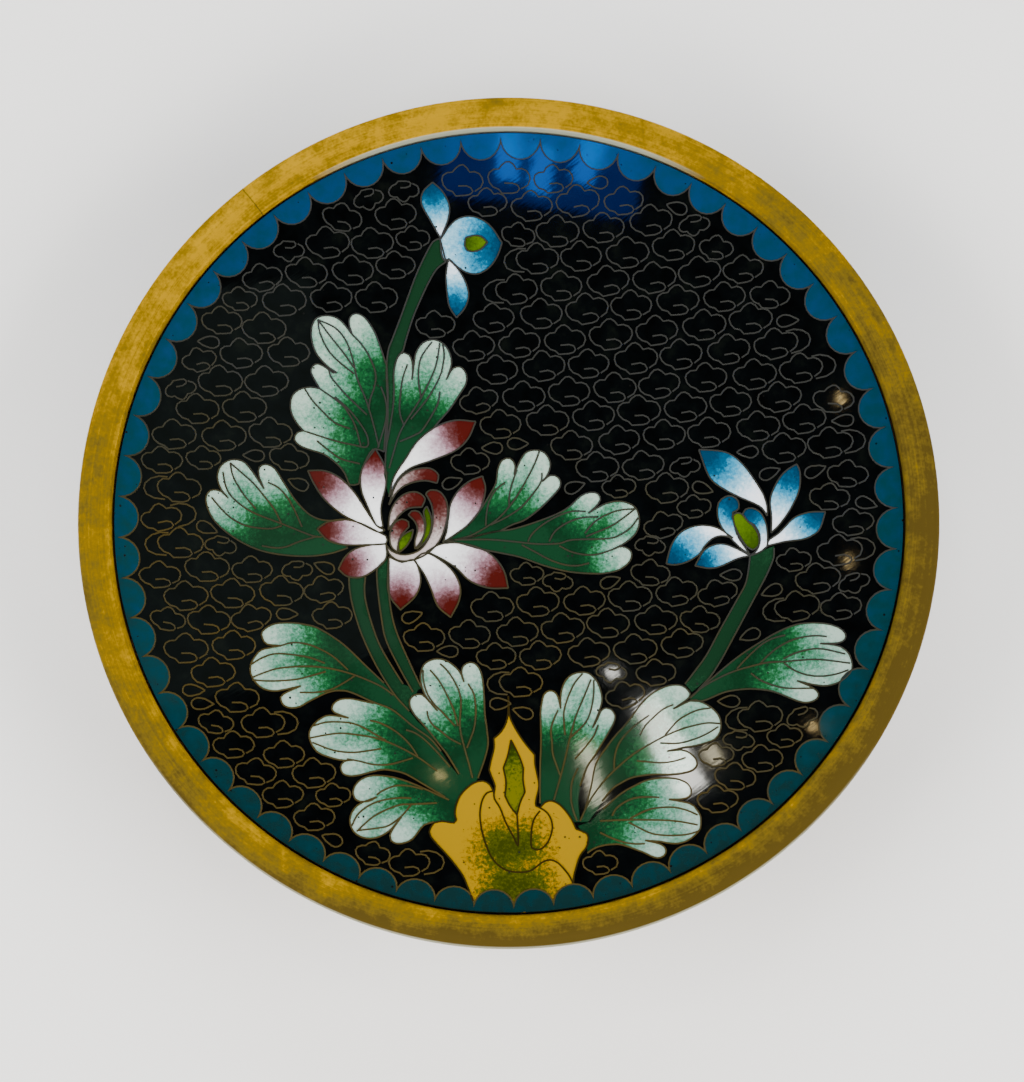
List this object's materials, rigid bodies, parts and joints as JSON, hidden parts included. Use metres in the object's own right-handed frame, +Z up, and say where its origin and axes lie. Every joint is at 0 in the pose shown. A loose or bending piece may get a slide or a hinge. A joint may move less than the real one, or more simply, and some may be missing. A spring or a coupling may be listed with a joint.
{
  "type": "cloisonne trinket dish",
  "caption": "Shallow round enamelled dish for trinkets: wire-inlaid flowers, leaves, rock and clouds on black, a scalloped blue border, a flat brass lip and a low brass foot ring.",
  "frame": {"origin": "on the surface the dish stands on, under the middle of the dish", "axes": "+Z up, out of the bowl; +Y to the side where the upper flower of the picture points; +X to the right of the picture"},
  "size_m": [0.115, 0.115, 0.0166],
  "materials": {
    "copper": "spun copper sheet, seen only in the joints",
    "brass": "brushed and aged, with darker tarnish patches",
    "black_enamel": "glossy fused glass, fine pits",
    "turquoise_enamel": "glossy fused glass, fine pits"
  },
  "bodies": {
    "root": {"copper_body": "copper", "rim_band": "brass", "foot_ring": "brass", "border_wire": "brass", "ground_enamel": "black_enamel", "outer_enamel": "black_enamel", "border_enamel": "turquoise_enamel", "base_enamel": "turquoise_enamel"}
  },
  "joints": []
}
